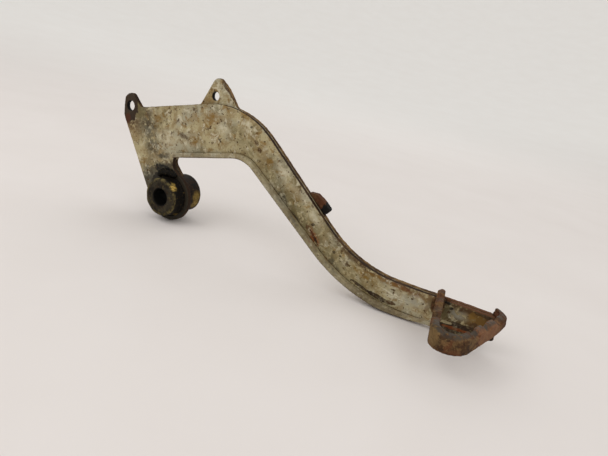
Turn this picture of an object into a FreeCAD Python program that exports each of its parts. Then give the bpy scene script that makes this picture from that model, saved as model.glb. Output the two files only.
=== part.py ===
import FreeCAD, Part
import math
import os

# Motorbike rear brake pedal, millimetres.
# Origin on the pivot axis at mid-length of the boss. X runs forward to the foot tread,
# Y runs inboard along the pivot, Z is up with the pedal standing on its lobe and its lower edge.

# Pivot boss
bore_diameter = 12.0
boss_diameter = 27.8
boss_length = 29.0
boss_chamfer = 0.8
weld_leg = 2.4

# Sheets of the arm
sheet = 3.5
plate_setback = 9.0
lip_start_x = 2.4
lip_end_radius = 2.4
saddle_neck_x = -4.5
saddle_toe = (7.0, 15.8)
saddle_heel = (-16.5, 4.0)
saddle_back_x = -26.0
saddle_radius = 4.0
lobe_margin = 4.6
neck_ease = 2.2

# Outline of the arm, side view, as corners of the straight runs and the radius of each bend
rear_angle = 14.9
rear_depth = 35.8
rear_top_height = 65.6
knee_slope_top = 38.8
knee_slope_bottom = 35.3
knee_top_x = 52.5
knee_bottom_shift = 7.6
knee_top_radius = 58.0
knee_bottom_radius = 20.0
foot_top_x = 150.4
foot_bottom_shift = 2.6
foot_top_radius = 76.0
foot_bottom_radius = 104.0
foot_top_rise = 2.0
foot_bottom_rise = 5.7
tip_x = 236.0
tip_radius = 3.0
tip_lower_radius = 10.0

# Brake-rod ear
ear_back_x = -51.0
ear_heel_below = 8.7
ear_back_above = 5.7
ear_top_above = 8.7
ear_front_x = -44.0
ear_toe_x = -34.8
ear_heel_radius = 9.0
ear_back_radius = 6.0
ear_front_radius = 3.6
ear_toe_radius = 2.5
rod_hole_x = -44.8
rod_hole_below = 1.2
rod_hole_diameter = 7.0

# Turned-out lip along the lower edge
lip_proud = 4.0
lip_fade_start = 68.0
lip_fade_end = 39.0
bend_radius = 3.0

# Return-spring tab on the stiffener
tab_back_x = 14.6
tab_front_x = 44.4
tab_peak_x = 25.6
tab_height = 19.2
tab_peak_radius = 4.6
tab_bulge = 1.6
tab_bulge_radius = 24.0
tab_foot_radius = 3.0
spring_hole_x = 26.2
spring_hole_above = 4.8
spring_hole_diameter = 5.5
tab_root = 8.0

# Stop block on the upper edge
stop_x = 107.2
stop_length = 17.5
stop_height = 5.6
stop_depth = 5.0
stop_ramp = 4.0
stop_corner_radius = 1.6

# Foot tread
tread_above_tip = 2.9
strip_height = 12.5
strip_thickness = 4.4
strip_lean = 8.0
strip_bottom_rise = 7.8
strip_corner_radius = 7.0
nose_wear = 0.3
bevel_width = 5.0
bevel_drop = 1.5
nose_from_tip = 22.1
nose_reach = 42.3
nose_radius = 8.2
rear_leg_splay = 6.2
front_leg_splay = 19.6
rear_leg_overlap = 3.2
curl_lead = 2.0
curl_radius = 8.4
curl_angle = 78.0
trim_angle = 115.0
trim_band = 20.0
first_notch = 8.0
tooth_pitch = 12.8
notch_radius = 3.6
notch_depth = 1.9
notches_per_leg = 3

# Derived sizes
boss_radius = boss_diameter / 2
lobe_radius = boss_radius + lobe_margin
plate_front = plate_setback - boss_length / 2
plate_back = plate_front + sheet
stiffener_back = plate_back + sheet
lip_front = plate_front - lip_proud
knee_bottom_x = knee_top_x + knee_bottom_shift
foot_bottom_x = foot_top_x + foot_bottom_shift
clear = 200.0


def unit(angle_deg):
    return (math.cos(math.radians(angle_deg)), math.sin(math.radians(angle_deg)))


def place(u, v, plane, level):
    """A point of a flat drawing, in the side view (level is Y) or the plan view (level is Z)."""
    if plane == "side":
        return FreeCAD.Vector(u, level, v)
    return FreeCAD.Vector(u, v, level)


def chain_edges(points, plane="side", level=0.0):
    """Edges along points (u, v, radius): straight runs joined by tangent arcs."""
    edges = []
    start = (points[0][0], points[0][1])
    for before, corner, after in zip(points, points[1:], points[2:]):
        u1, v1 = corner[0] - before[0], corner[1] - before[1]
        u2, v2 = after[0] - corner[0], after[1] - corner[1]
        len1, len2 = math.hypot(u1, v1), math.hypot(u2, v2)
        u1, v1, u2, v2 = u1 / len1, v1 / len1, u2 / len2, v2 / len2
        turn = math.atan2(u1 * v2 - v1 * u2, u1 * u2 + v1 * v2)
        if corner[2] == 0 or abs(turn) < 1e-6:
            end = (corner[0], corner[1])
            edges.append(Part.makeLine(place(*start, plane, level), place(*end, plane, level)))
            start = end
            continue
        cut = corner[2] * math.tan(abs(turn) / 2)
        end = (corner[0] - cut * u1, corner[1] - cut * v1)
        leave = (corner[0] + cut * u2, corner[1] + cut * v2)
        sag = corner[2] * (1 / math.cos(turn / 2) - 1)
        mid_u, mid_v = u2 - u1, v2 - v1
        mid_len = math.hypot(mid_u, mid_v)
        middle = (corner[0] + sag * mid_u / mid_len, corner[1] + sag * mid_v / mid_len)
        if math.hypot(end[0] - start[0], end[1] - start[1]) > 1e-6:
            edges.append(Part.makeLine(place(*start, plane, level), place(*end, plane, level)))
        arc = Part.Arc(place(*end, plane, level), place(*middle, plane, level), place(*leave, plane, level))
        edges.append(arc.toShape())
        start = leave
    end = (points[-1][0], points[-1][1])
    edges.append(Part.makeLine(place(*start, plane, level), place(*end, plane, level)))
    return edges


def shift_chain(points, offset):
    """The same chain moved to its left by an offset, with the bend radii kept concentric."""
    moved = []
    last = len(points) - 1
    for i, (u, v, radius) in enumerate(points):
        ahead = points[min(i + 1, last)]
        here = points[min(i, last - 1)]
        behind = points[max(i - 1, 0)]
        here_next = points[max(i, 1)]
        a_in = math.atan2(here_next[1] - behind[1], here_next[0] - behind[0])
        a_out = math.atan2(ahead[1] - here[1], ahead[0] - here[0])
        n_in = (-math.sin(a_in), math.cos(a_in))
        n_out = (-math.sin(a_out), math.cos(a_out))
        share = 1 + n_in[0] * n_out[0] + n_in[1] * n_out[1]
        du = offset * (n_in[0] + n_out[0]) / share
        dv = offset * (n_in[1] + n_out[1]) / share
        turn = math.sin(a_out - a_in)
        if radius > 0 and turn > 0:
            radius = radius - offset
        elif radius > 0:
            radius = radius + offset
        moved.append((u + du, v + dv, radius))
    return moved


def prism(edges, depth, plane="side"):
    face = Part.Face(Part.Wire(Part.__sortEdges__(edges)))
    return face.extrude(place(0, 0, plane, depth))


def pin(x, z, radius, y_from, y_to):
    return Part.makeCylinder(radius, y_to - y_from, FreeCAD.Vector(x, y_from, z), FreeCAD.Vector(0, 1, 0))


# Straight runs of the arm's upper and lower edge
rear_bottom_height = rear_top_height - rear_depth / math.cos(math.radians(rear_angle))


def on_rear_top(x):
    return rear_top_height + x * math.tan(math.radians(rear_angle))


def on_rear_bottom(x):
    return rear_bottom_height + x * math.tan(math.radians(rear_angle))


def on_knee_top(x):
    half_turn = math.radians((rear_angle + knee_slope_top) / 2)
    way = unit((rear_angle - knee_slope_top) / 2 - 90)
    reach = knee_top_radius / math.cos(half_turn)
    centre = (knee_top_x + way[0] * reach, on_rear_top(knee_top_x) + way[1] * reach)
    return centre[1] + math.sqrt(knee_top_radius ** 2 - (x - centre[0]) ** 2)


knee_top = (knee_top_x, on_rear_top(knee_top_x))
knee_bottom = (knee_bottom_x, on_rear_bottom(knee_bottom_x))
foot_top = (foot_top_x, knee_top[1] - (foot_top_x - knee_top_x) * math.tan(math.radians(knee_slope_top)))
foot_bottom_drop = (foot_bottom_x - knee_bottom_x) * math.tan(math.radians(knee_slope_bottom))
foot_bottom = (foot_bottom_x, knee_bottom[1] - foot_bottom_drop)
tip_top = (tip_x, foot_top[1] + (tip_x - foot_top_x) * math.tan(math.radians(foot_top_rise)))
tip_bottom = (tip_x, foot_bottom[1] + (tip_x - foot_bottom_x) * math.tan(math.radians(foot_bottom_rise)))

ear_base_z = on_rear_top(ear_toe_x)
ear_heel_z = ear_base_z - ear_heel_below
rod_hole_z = ear_base_z - rod_hole_below
tab_peak_z = on_rear_top(tab_peak_x) + tab_height
spring_hole_z = on_rear_top(spring_hole_x) + spring_hole_above
tread_top_z = tip_top[1] + tread_above_tip

upper_bends = [knee_top + (knee_top_radius,), foot_top + (foot_top_radius,)]
lower_run = [
    (lip_start_x, on_rear_bottom(lip_start_x), 0.0),
    knee_bottom + (knee_bottom_radius,),
    foot_bottom + (foot_bottom_radius,),
    tip_bottom + (0.0,),
]
seam_run = shift_chain(lower_run, sheet)


# Foot tread in plan: rear leg, round nose, front leg and the curl around the arm's tip
rear_way = unit(90 + rear_leg_splay)
front_way = unit(90 - front_leg_splay)
nose_centre = (tip_x - nose_from_tip, -nose_reach)
rear_leg_end_y = plate_front + rear_leg_overlap
curl_start_y = plate_front - curl_lead


def step(point, way, length):
    return (point[0] + way[0] * length, point[1] + way[1] * length)


front_touch = step(nose_centre, unit(-front_leg_splay), nose_radius)
front_length = (curl_start_y - front_touch[1]) / front_way[1]
curl_centre = step(step(front_touch, front_way, front_length), unit(180 - front_leg_splay), curl_radius)


def strip_side(offset, curl_to):
    """Points of the strip's centre line moved out of the loop by an offset."""
    rear_touch = step(nose_centre, unit(180 + rear_leg_splay), nose_radius + offset)
    rear_length = (rear_leg_end_y - rear_touch[1]) / rear_way[1]
    return {
        "rear_end": step(rear_touch, rear_way, rear_length),
        "rear_touch": rear_touch,
        "nose": step(nose_centre, unit(270), nose_radius + offset),
        "front_touch": step(nose_centre, unit(-front_leg_splay), nose_radius + offset),
        "curl_from": step(curl_centre, unit(-front_leg_splay), curl_radius + offset),
        "curl_middle": step(curl_centre, unit(curl_to / 2 - front_leg_splay), curl_radius + offset),
        "curl_end": step(curl_centre, unit(curl_to - front_leg_splay), curl_radius + offset),
    }


def plan_line(start, end, level):
    return Part.makeLine(place(*start, "plan", level), place(*end, "plan", level))


def plan_arc(start, middle, end, level):
    return Part.Arc(*(place(*point, "plan", level) for point in (start, middle, end))).toShape()


def lean_prism(edges, above, height):
    """Prism of a plan outline drawn at the rim, leaning forward on its way down."""
    lean = math.tan(math.radians(strip_lean))
    face = Part.Face(Part.Wire(Part.__sortEdges__(edges)))
    face.translate(FreeCAD.Vector(-lean * above, 0, above))
    return face.extrude(FreeCAD.Vector(lean * height, 0, -height))


def rim_height(y):
    """Height of the tread's top edge, worn down toward the nose."""
    nose_y = -nose_reach - nose_radius
    return tread_top_z - nose_wear * (plate_front - y) / (plate_front - nose_y)


def make_strip():
    outer = strip_side(strip_thickness / 2, curl_angle)
    inner = strip_side(-strip_thickness / 2, curl_angle)
    edges = []
    for side in (outer, inner):
        edges.append(plan_line(side["rear_end"], side["rear_touch"], tread_top_z))
        edges.append(plan_arc(side["rear_touch"], side["nose"], side["front_touch"], tread_top_z))
        edges.append(plan_line(side["front_touch"], side["curl_from"], tread_top_z))
        edges.append(plan_arc(side["curl_from"], side["curl_middle"], side["curl_end"], tread_top_z))
    rear_cap = step(strip_side(0.0, curl_angle)["rear_end"], rear_way, strip_thickness / 2)
    edges.append(plan_arc(outer["rear_end"], rear_cap, inner["rear_end"], tread_top_z))
    edges.append(plan_line(outer["curl_end"], inner["curl_end"], tread_top_z))
    strip = lean_prism(edges, 0, strip_height)
    bevel_y = bevel_width - nose_reach - nose_radius - strip_thickness / 2
    far_y = bevel_y - bevel_width
    wedge = [
        (plate_front, tread_top_z),
        (bevel_y, rim_height(bevel_y)),
        (far_y, rim_height(far_y) - bevel_drop),
        (far_y, clear),
        (plate_front, clear),
    ]
    corners = [FreeCAD.Vector(0, y, z) for y, z in wedge]
    worn = Part.Face(Part.makePolygon(corners + corners[:1])).extrude(FreeCAD.Vector(2 * tip_x, 0, 0))
    strip = strip.cut(worn)
    box = strip.BoundBox
    climb = box.XLength * math.tan(math.radians(strip_bottom_rise))
    low_corner = (box.XMax, box.ZMin + climb)
    strip = strip.cut(corner_waste(low_corner, strip_bottom_rise, strip_corner_radius, box.XLength))
    legs = [(strip_side(0.0, curl_angle)["rear_touch"], rear_way), (front_touch, front_way)]
    across = 2 * strip_thickness
    for start, way in legs:
        for i in range(notches_per_leg):
            x, y = step(start, way, first_notch + i * tooth_pitch)
            axis = FreeCAD.Vector(-way[1], way[0], 0)
            centre = FreeCAD.Vector(x, y, rim_height(y) + notch_radius - notch_depth)
            strip = strip.cut(Part.makeCylinder(notch_radius, 2 * across, centre - axis * across, axis))
    return strip


def make_tip_trim():
    """Tall band on the strip's curl, which shapes the arm's tip to the inside of the curl."""
    outer = strip_side(strip_thickness / 2 + trim_band, trim_angle)
    inner = strip_side(-strip_thickness / 2, trim_angle)
    edges = []
    for side in (outer, inner):
        edges.append(plan_line(side["front_touch"], side["curl_from"], tread_top_z))
        edges.append(plan_arc(side["curl_from"], side["curl_middle"], side["curl_end"], tread_top_z))
    edges.append(plan_line(outer["curl_end"], inner["curl_end"], tread_top_z))
    edges.append(plan_line(outer["front_touch"], inner["front_touch"], tread_top_z))
    return lean_prism(edges, clear / 10, clear / 2)


def corner_waste(corner, rise, radius, reach):
    """Waste outside a rounded lower corner at the tip, and below the edge that climbs to it."""
    start = step(corner, unit(rise), -reach)
    outline = [
        start + (0.0,),
        corner + (radius,),
        (corner[0], corner[1] + reach, 0.0),
        (corner[0] + reach, corner[1] + reach, 0.0),
        (corner[0] + reach, start[1] - reach, 0.0),
        (start[0], start[1] - reach, 0.0),
        start + (0.0,),
    ]
    return prism(chain_edges(outline, "side", -clear), 2 * clear)


def make_plate():
    left_reach = math.hypot(ear_back_x, ear_heel_z)
    heel_angle = math.atan2(ear_heel_z, ear_back_x)
    touch_angle = heel_angle + math.acos(lobe_radius / left_reach)
    touch = (lobe_radius * math.cos(touch_angle), lobe_radius * math.sin(touch_angle))
    normal = unit(90 + rear_angle)
    along = unit(rear_angle)
    seam_height = seam_run[0][0] * normal[0] + seam_run[0][1] * normal[1]
    neck_radius = (seam_height - lobe_radius) / 2 + neck_ease
    neck_height = seam_height - neck_radius
    neck_along = math.sqrt((lobe_radius + neck_radius) ** 2 - neck_height ** 2)
    neck_x = normal[0] * neck_height + along[0] * neck_along
    neck_z = normal[1] * neck_height + along[1] * neck_along
    neck_on_seam = (neck_x + normal[0] * neck_radius, neck_z + normal[1] * neck_radius)
    neck_share = lobe_radius / (lobe_radius + neck_radius)
    neck_on_lobe = (neck_x * neck_share, neck_z * neck_share)
    neck_in = math.atan2(neck_z, neck_x) + math.pi
    neck_out = math.radians(90 + rear_angle)
    neck_middle_angle = (neck_in + neck_out) / 2 + (math.pi if neck_in < neck_out else 0)
    neck_middle = (
        neck_x + neck_radius * math.cos(neck_middle_angle),
        neck_z + neck_radius * math.sin(neck_middle_angle),
    )
    lobe_low_angle = (math.atan2(neck_z, neck_x) + touch_angle - 2 * math.pi) / 2
    lobe_low = (lobe_radius * math.cos(lobe_low_angle), lobe_radius * math.sin(lobe_low_angle))
    outline = [touch + (0.0,)]
    outline.append((ear_back_x, ear_heel_z, ear_heel_radius))
    outline.append((ear_back_x, ear_base_z + ear_back_above, ear_back_radius))
    outline.append((ear_front_x, ear_base_z + ear_top_above, ear_front_radius))
    outline.append((ear_toe_x, ear_base_z, ear_toe_radius))
    outline += upper_bends
    outline.append(tip_top + (tip_radius,))
    outline.append(seam_run[3])
    outline.append(seam_run[2])
    outline.append(seam_run[1])
    outline.append(neck_on_seam + (0.0,))
    edges = chain_edges(outline, "side", plate_front)
    for a, b, c in ((neck_on_seam, neck_middle, neck_on_lobe), (neck_on_lobe, lobe_low, touch)):
        points = [place(*p, "side", plate_front) for p in (a, b, c)]
        edges.append(Part.Arc(*points).toShape())
    plate = prism(edges, sheet)
    plate = plate.cut(pin(0, 0, boss_radius, plate_front - clear, plate_back + clear))
    hole = pin(rod_hole_x, rod_hole_z, rod_hole_diameter / 2, plate_front - clear, plate_back + clear)
    return plate.cut(hole)


def at_foot(edge, foot):
    """True for an edge across the sheet at a given point of the side view."""
    near = [math.hypot(v.X - foot[0], v.Z - foot[1]) < 0.05 for v in edge.Vertexes]
    return len(near) == 2 and all(near)


def on_fold(edge):
    """True for an edge along the outside of the fold between web and lip."""
    middle = edge.valueAt((edge.FirstParameter + edge.LastParameter) / 2)
    lower = Part.Wire(chain_edges(lower_run, "side", stiffener_back))
    return lower.distToShape(Part.Vertex(middle))[0] < 0.01


def make_stiffener():
    outline = [saddle_heel + (0.0,), saddle_toe + (0.0,)]
    outline.append((saddle_neck_x, on_rear_bottom(saddle_neck_x), saddle_radius))
    outline += lower_run[1:3]
    outline.append(lower_run[3])
    outline.append(tip_top + (tip_radius,))
    outline += reversed(upper_bends)
    outline.append((saddle_back_x, on_rear_top(saddle_back_x), saddle_radius))
    outline.append(outline[0])
    web = prism(chain_edges(outline, "side", plate_back), sheet)
    back_foot = (tab_back_x, on_rear_top(tab_back_x))
    front_foot = (tab_front_x, on_knee_top(tab_front_x))
    front_run = (front_foot[0] - tab_peak_x, front_foot[1] - tab_peak_z)
    front_length = math.hypot(*front_run)
    bulge = (
        tab_peak_x + front_run[0] / 2 - tab_bulge * front_run[1] / front_length,
        tab_peak_z + front_run[1] / 2 + tab_bulge * front_run[0] / front_length,
    )
    tab = [
        (back_foot[0], back_foot[1] - tab_root, 0.0),
        back_foot + (0.0,),
        (tab_peak_x, tab_peak_z, tab_peak_radius),
        bulge + (tab_bulge_radius,),
        front_foot + (0.0,),
        (front_foot[0], front_foot[1] - tab_root, 0.0),
        (back_foot[0], back_foot[1] - tab_root, 0.0),
    ]
    web = web.fuse(prism(chain_edges(tab, "side", plate_back), sheet)).removeSplitter()
    feet = [e for e in web.Edges if any(at_foot(e, foot) for foot in (back_foot, front_foot))]
    web = web.makeFillet(tab_foot_radius, feet)
    lip_outline = lower_run + seam_run[:0:-1]
    lip_outline.append(seam_run[0][:2] + (lip_end_radius,))
    lip_outline.append(lower_run[0])
    lip = prism(chain_edges(lip_outline, "side", lip_front), stiffener_back - lip_front)
    rounded_lip = lip.makeFillet(bend_radius, [e for e in lip.Edges if on_fold(e)])
    fade = [
        (tip_x - lip_fade_start, lip_front - clear),
        (tip_x - lip_fade_start, lip_front),
        (tip_x - lip_fade_end, plate_front),
        (tip_x + clear, plate_front),
        (tip_x + clear, lip_front - clear),
    ]
    fade_edges = [plan_line(a, b, -clear / 2) for a, b in zip(fade, fade[1:] + fade[:1])]
    body = web.cut(lip).fuse(rounded_lip.cut(prism(fade_edges, clear, "plan"))).removeSplitter()
    body = body.cut(pin(0, 0, boss_radius, plate_front - clear, stiffener_back + clear))
    hole = pin(spring_hole_x, spring_hole_z, spring_hole_diameter / 2, plate_front - clear, stiffener_back + clear)
    return body.cut(hole)


def make_boss():
    half = boss_length / 2
    bore = bore_diameter / 2
    rim = boss_radius - boss_chamfer
    lead = bore + boss_chamfer / 2
    profile = [
        (lead, -half),
        (rim, -half),
        (boss_radius, -half + boss_chamfer),
        (boss_radius, plate_front - weld_leg),
        (boss_radius + weld_leg, plate_front),
        (boss_radius, plate_front),
        (boss_radius, plate_back),
        (boss_radius + weld_leg, plate_back),
        (boss_radius, plate_back + weld_leg),
        (boss_radius, half - boss_chamfer),
        (rim, half),
        (lead, half),
        (bore, half - boss_chamfer / 2),
        (bore, -half + boss_chamfer / 2),
    ]
    points = [FreeCAD.Vector(r, y, 0) for r, y in profile]
    face = Part.Face(Part.makePolygon(points + points[:1]))
    return face.revolve(FreeCAD.Vector(0, 0, 0), FreeCAD.Vector(0, 1, 0), 360)


def make_stop():
    """Block on the upper edge of the sloped run, drawn along that run from its upper end."""
    way = unit(-knee_slope_top)
    out = unit(90 - knee_slope_top)
    start_z = knee_top[1] - (stop_x - knee_top_x) * math.tan(math.radians(knee_slope_top))

    def at(along, height, radius=0.0):
        x = stop_x + way[0] * along + out[0] * height
        z = start_z + way[1] * along + out[1] * height
        return (x, z, radius)

    outline = [
        at(0, 0),
        at(stop_ramp, stop_height, stop_corner_radius),
        at(stop_length, stop_height, stop_corner_radius),
        at(stop_length, 0),
        at(0, 0),
    ]
    return prism(chain_edges(outline, "side", plate_back), stop_depth)


def largest(shape):
    return max(shape.Solids, key=lambda solid: solid.Volume)


trim = make_tip_trim()
corner = corner_waste(tip_bottom, foot_bottom_rise, tip_lower_radius, 2 * tip_lower_radius)
stiffener = largest(make_stiffener().cut(corner).cut(trim))
plate = largest(make_plate().cut(corner).cut(trim).cut(stiffener))
tread = largest(make_strip().cut(plate).cut(stiffener))
boss = largest(make_boss().cut(stiffener))

nodes = {
    "arm_plate": plate,
    "arm_stiffener": stiffener,
    "pivot_boss": boss,
    "stop_block": make_stop(),
    "foot_tread": tread,
}
os.makedirs("parts", exist_ok=True)
for name, shape in nodes.items():
    shape.exportStep("parts/" + name + ".step")
    print(name, shape.isValid(), len(shape.Solids), round(shape.Volume), shape.BoundBox)
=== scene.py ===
import math

import bmesh
import bpy
from mathutils import Matrix, Vector, noise


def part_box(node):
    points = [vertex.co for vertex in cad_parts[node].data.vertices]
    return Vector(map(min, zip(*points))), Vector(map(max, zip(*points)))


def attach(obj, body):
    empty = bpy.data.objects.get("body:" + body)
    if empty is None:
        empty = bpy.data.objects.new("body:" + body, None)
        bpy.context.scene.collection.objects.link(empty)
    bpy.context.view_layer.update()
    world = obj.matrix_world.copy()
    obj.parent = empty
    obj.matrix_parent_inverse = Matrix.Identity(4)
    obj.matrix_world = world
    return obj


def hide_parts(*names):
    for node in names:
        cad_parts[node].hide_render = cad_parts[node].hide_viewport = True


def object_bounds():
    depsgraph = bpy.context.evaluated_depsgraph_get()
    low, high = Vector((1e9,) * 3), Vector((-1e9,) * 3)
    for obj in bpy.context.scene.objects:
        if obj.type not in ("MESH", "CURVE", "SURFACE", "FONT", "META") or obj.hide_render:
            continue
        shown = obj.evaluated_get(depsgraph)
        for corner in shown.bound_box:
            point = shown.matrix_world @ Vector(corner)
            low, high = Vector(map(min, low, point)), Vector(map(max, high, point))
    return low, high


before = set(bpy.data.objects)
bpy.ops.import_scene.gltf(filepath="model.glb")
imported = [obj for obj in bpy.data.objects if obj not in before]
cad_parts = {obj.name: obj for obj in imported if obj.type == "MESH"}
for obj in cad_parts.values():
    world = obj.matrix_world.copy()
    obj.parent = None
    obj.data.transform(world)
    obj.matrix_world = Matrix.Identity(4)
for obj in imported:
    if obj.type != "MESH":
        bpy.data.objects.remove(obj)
cad_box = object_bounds()

MM = 0.001

# Camera: its place in millimetres, its axes, and its focal length in pixels of the photograph's frame
camera_place = (218.5, -256.55, 107.06)
camera_right = (0.8683, 0.4501, 0.2085)
camera_up = (-0.3272, 0.2039, 0.9227)
focal_pixels = 457.0
frame_width_pixels = 608.0
sensor_width = 36.0

# How near the camera still sees, in metres
camera_clip = 0.01

# When a node's mesh is refined: what counts as an edge and as flat, and the longest edge left
sharp_angle = math.radians(35)
flat_angle = math.radians(0.3)
longest_edge = 4.0

# Voxel sizes of the pieces, in millimetres
sheet_voxel = 0.6
boss_voxel = 0.45
tread_voxel = 0.36
stop_voxel = 0.3

# Rounds of smoothing that follow the remeshing
sheet_rounds = 2
boss_rounds = 2
tread_rounds = 3
stop_rounds = 4

# The arm and the boss, in millimetres, as the frame has them
plate_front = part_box("arm_plate")[0].y / MM
plate_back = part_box("arm_plate")[1].y / MM
boss_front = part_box("pivot_boss")[0].y / MM
boss_weld_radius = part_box("pivot_boss")[1].x / MM
weld_leg = 2.4
boss_radius = boss_weld_radius - weld_leg
bore_radius = 6.0

# The seam of plate and lip: its start in x and z, its gap to the boss, the plate's reach under the lip
seam_from = Vector((3.0, 26.0))
seam_gap = 5.0
seam_reach = 0.8

# The holes in the two sheets, the rod's and the tab's: centre and a radius just past the wall; within it
# the hole's wall gets painted shade
sheet_holes = (
    ((-44.8, -3.7, 55.1), 4.4),
    ((26.2, -0.2, 77.4), 3.6),
)

# The sloped run of the arm: its fall in degrees, which way its upper edge faces, and the way down
slope_fall = 38.8
slope_angle = math.radians(slope_fall)
slope_out = Vector((math.sin(slope_angle), 0, math.cos(slope_angle)))
slope_down = Vector((math.cos(slope_angle), 0, -math.sin(slope_angle)))

# Where the upper end of the stop block meets the arm's edge
stop_foot_height = 35.4
stop_foot = Vector((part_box("stop_block")[0].x / MM, 0, stop_foot_height))

# The tread's centre line at its rim, in millimetres
tread_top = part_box("foot_tread")[1].z / MM
tread_lean = math.radians(8)
tread_half = 2.2
rear_end = Vector((201.3, -2.3))
rear_touch = Vector((205.75, -43.2))
nose_centre = Vector((213.9, -42.3))
nose_radius = 8.2
front_touch = Vector((221.6, -45.05))
curl_from = Vector((235.0, -7.5))
curl_centre = Vector((227.1, -4.7))
curl_radius = 8.4

# Where along x the rust of the tread sets in on the arm, and where the lip's brown stain comes and goes
tread_rust_from = 196.0
tread_rust_full = 206.0
lip_stain_from = 130.0
lip_stain_full = 165.0
lip_stain_fades = 182.0
lip_stain_gone = 196.0

# How deep the wear goes, in millimetres
sheet_dent = 0.12
sheet_edge_wear = 0.35
boss_dent = 0.2
boss_rim_wear = 0.9
weld_ripple = 0.35
weld_lump = 0.6
tread_dent = 0.14
tread_pit = 0.08
tread_rim_fall = 1.1
stop_dent = 0.25

# Share of its height that the stop block has lost at its lower end, and what is added at its upper end
stop_loss = 0.1
stop_loss_above = 0.22

# The heavy weld bead over the boss: its arc in degrees, its radius, and its place off boss and plate
heavy_bead_arc = (70, 132)
heavy_bead_radius = 2.7
heavy_bead_out = 3.0
heavy_bead_front = 0.7

# Upright beads where the tread meets the arm: start and end in x and z, radius
upright_beads = (
    ((199.0, 2.6), (200.4, -7.0), 1.2),
    ((204.0, 2.2), (205.1, -5.4), 1.2),
    ((231.6, 3.2), (232.4, -3.0), 1.3),
)
upright_bead_front = 0.4

# The short bead on the arm's upper edge: x and depth behind the plate's face at its ends, height, radius
edge_bead_x = (205.2, 208.0)
edge_bead_depth = (1.0, 1.6)
edge_bead_height = 3.2
edge_bead_radius = 1.2

# The bead inside the curl: centre in x and y, arc radius, height, arc in degrees, bead radius
curl_bead_centre = (227.5, -4.7)
curl_bead_reach = 5.6
curl_bead_height = 4.4
curl_bead_arc = (-4, 56)
curl_bead_radius = 1.4

# Net of the beads: points along them and around them
heavy_bead_points = 40
bead_points = 24
edge_bead_points = 12
bead_sides = 12

# Unevenness of the beads as shares of their radius: ripples along them, least width, what lumps add
bead_ripple = 0.12
bead_least = 0.7
bead_lumps = 0.6

# Floor, a wide bowl in metres: its flat bottom, the bend of its rim, how far the rim climbs, its net
floor_flat = 1.0
floor_bend = 6.0
floor_climb = 45
floor_flat_rings = 4
floor_rings = 24
floor_sides = 72

# Gap between the part and the floor, in millimetres
floor_gap = 0.1

# How far behind the part, in millimetres, the floor starts to get paler, and where it is palest: painted
# light that brightens the far floor and its rising rim
floor_painted_light_from = 300.0
floor_painted_light_full = 1800.0

# Soft lights: name, place and size in metres, power
soft_lights = (
    ("key", (-0.45, -0.75, 0.8), 0.8, 3.6),
    ("fill", (0.9, -0.5, 0.6), 0.9, 0.8),
    ("back", (0.1, 0.9, 0.9), 0.9, 1.4),
)
room_strength = 0.92


def tone(red, green, blue):
    """A colour in screen values from 0 to 255 as linear colour."""
    linear = []
    for value in (red, green, blue):
        part = value / 255.0
        linear.append(part / 12.92 if part <= 0.04045 else ((part + 0.055) / 1.055) ** 2.4)
    return (*linear, 1.0)


# Colours
CREAM = tone(168, 156, 120)
SILVER = tone(154, 151, 134)
PALE = tone(196, 188, 162)
TAN = tone(128, 106, 66)
OCHRE = tone(122, 90, 32)
OLIVE = tone(96, 86, 54)
BROWN = tone(70, 48, 25)
DARK_RUST = tone(42, 27, 14)
RED_RUST = tone(94, 58, 34)
RED_BROWN = tone(72, 36, 17)
ORANGE = tone(122, 62, 20)
TAN_RUST = tone(118, 92, 58)
GRIME = tone(60, 55, 43)
SOOT = tone(12, 10, 7)
GREASE = tone(32, 27, 19)
GOLD = tone(196, 164, 84)
STEEL = tone(70, 65, 60)
LIP_GREY = tone(124, 117, 98)
PINK_RUST = tone(140, 98, 70)
ROOM_LIGHT = tone(240, 238, 234)
FLOOR_NEAR = (tone(228, 223, 221), tone(221, 215, 212))
FLOOR_FAR = (tone(247, 246, 245), tone(241, 239, 237))


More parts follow.
